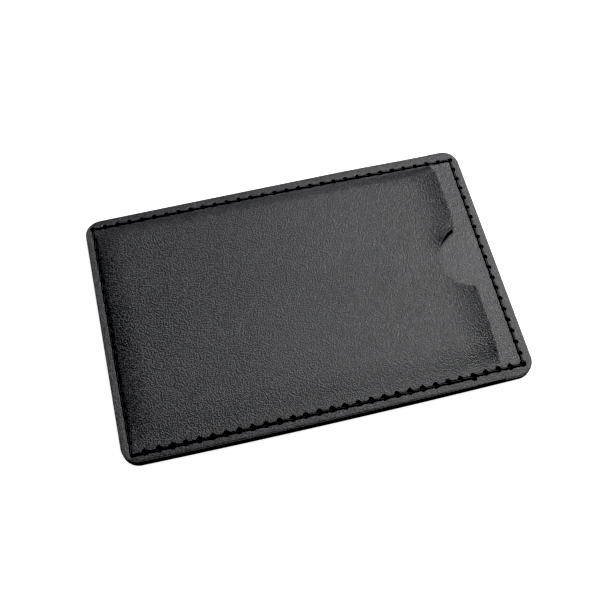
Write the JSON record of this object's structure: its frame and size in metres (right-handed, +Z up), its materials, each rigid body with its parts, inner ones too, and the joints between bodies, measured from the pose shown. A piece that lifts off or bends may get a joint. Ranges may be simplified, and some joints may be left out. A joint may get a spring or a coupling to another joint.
{
  "type": "card holder",
  "caption": "Slim stitched leatherette sleeve with one end-opening pocket for a standard card and a curved thumb notch.",
  "frame": {"origin": "centre of the sleeve's length and width, on the surface that its back rests on", "axes": "+X along the length towards the open end, +Y across the width, +Z up out of the front panel"},
  "size_m": [0.098, 0.065, 0.0037],
  "materials": {
    "panel_leatherette": "fine-grain black leatherette, satin",
    "inner_leatherette": "smooth black leatherette, satin",
    "core_board": "raw fibre board",
    "seam_tape": "double-sided adhesive tape",
    "sewing_thread": "bonded black polyester thread",
    "edge_paint": "semi-matt black edge paint"
  },
  "bodies": {
    "root": {"back_panel": "panel_leatherette", "core_board": "core_board", "inner_panel": "inner_leatherette", "seam_tape_end": "seam_tape", "seam_tape_near": "seam_tape", "seam_tape_far": "seam_tape", "front_panel": "panel_leatherette", "needle_thread": "sewing_thread", "bobbin_thread": "sewing_thread", "edge_paint": "edge_paint"}
  },
  "joints": []
}
